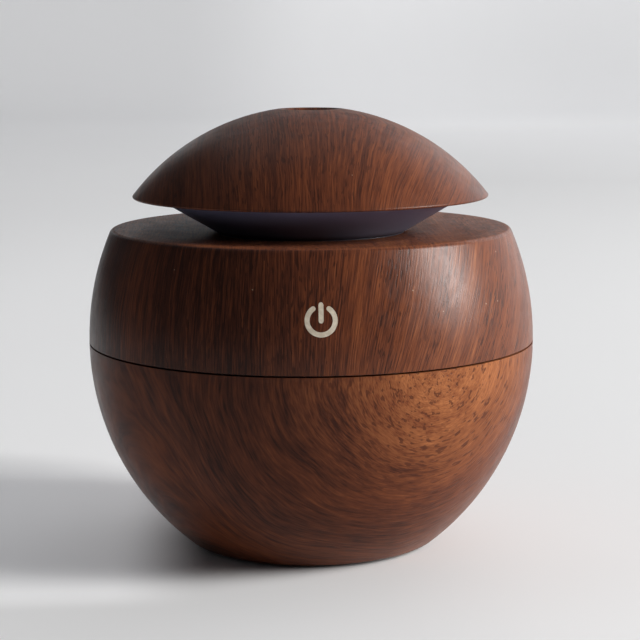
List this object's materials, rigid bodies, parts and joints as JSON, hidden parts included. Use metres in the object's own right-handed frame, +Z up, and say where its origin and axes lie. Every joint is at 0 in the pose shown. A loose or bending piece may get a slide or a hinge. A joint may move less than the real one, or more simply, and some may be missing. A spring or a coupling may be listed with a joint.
{
  "type": "cool mist humidifier",
  "caption": "Small round wood-print cool mist humidifier: lift-off head with mushroom cap and lamp cone over a water bowl, with a sprung cotton wick and mesh atomizer.",
  "frame": {"origin": "centre of the round foot, on the surface that the humidifier stands on", "axes": "+Z up through the mist outlet, -Y towards the power icon, +Y towards the USB inlet"},
  "size_m": [0.101, 0.101, 0.0985],
  "materials": {
    "wood_print": "satin",
    "icon_print": "satin",
    "smoke_plastic": "satin",
    "tank_plastic": "gloss",
    "white_plastic": "satin",
    "dark_plastic": "satin",
    "foot_rubber": "matte",
    "silicone": "matte",
    "steel": "satin",
    "circuit_board": "gloss",
    "lamp_board": "gloss",
    "chip_black": "matte",
    "ferrite": "matte",
    "can_aluminium": "satin",
    "nylon": "satin",
    "led_lens": "gloss",
    "wire_insulation": "gloss",
    "gilt_spring": "gloss",
    "piezo_ceramic": "matte",
    "cotton": "matte"
  },
  "bodies": {
    "tank": {"bowl_shell": "wood_print", "water_tank": "tank_plastic", "foot_ring": "foot_rubber", "tank_screws": "steel"},
    "seal": {"tank_seal": "silicone"},
    "head": {"upper_shell": "wood_print", "power_icon": "icon_print", "chassis": "white_plastic", "chassis_screws": "steel", "centre_tube": "white_plastic", "main_board": "circuit_board", "board_screws": "steel", "driver_chip": "chip_black", "boost_inductor": "ferrite", "capacitor": "can_aluminium", "wire_sockets": "nylon", "usb_jack": "steel", "usb_tongue": "chip_black", "touch_board": "circuit_board", "touch_spring": "gilt_spring", "led_board": "lamp_board", "leds": "led_lens", "led_screws": "steel", "led_wires": "wire_insulation", "light_ring": "smoke_plastic", "cap_base": "dark_plastic", "cap_shell": "wood_print", "cap_screws": "steel", "atomizer_housing": "white_plastic", "housing_screws": "steel", "lower_gasket": "silicone", "mesh_plate": "steel", "piezo_ring": "piezo_ceramic", "upper_gasket": "silicone", "mist_nozzle": "dark_plastic", "atomizer_wires": "wire_insulation"},
    "wick_holder": {"wick_tube": "white_plastic", "wick_spring": "steel"},
    "wick": {"wick": "cotton"}
  },
  "joints": [
    {"name": "head_lift", "type": "slide", "parent": "tank", "child": "seal", "axis": [0, 0, 1], "range_m": [0, 0.055]},
    {"name": "head_twist", "type": "hinge", "parent": "seal", "child": "head", "pos_m": [0, 0, 0.0522], "axis": [0, 0, 1], "range_deg": [-30, 0]},
    {"name": "wick_tube_turn", "type": "hinge", "parent": "head", "child": "wick_holder", "pos_m": [0, 0, 0.0515], "axis": [0, 0, 1], "range_deg": [0, 45]},
    {"name": "wick_press", "type": "slide", "parent": "wick_holder", "child": "wick", "axis": [0, 0, -1], "range_m": [0, 0.003], "stiffness_N_per_m": 60, "springref_m": -0.003, "deforming": ["wick_spring"]}
  ]
}
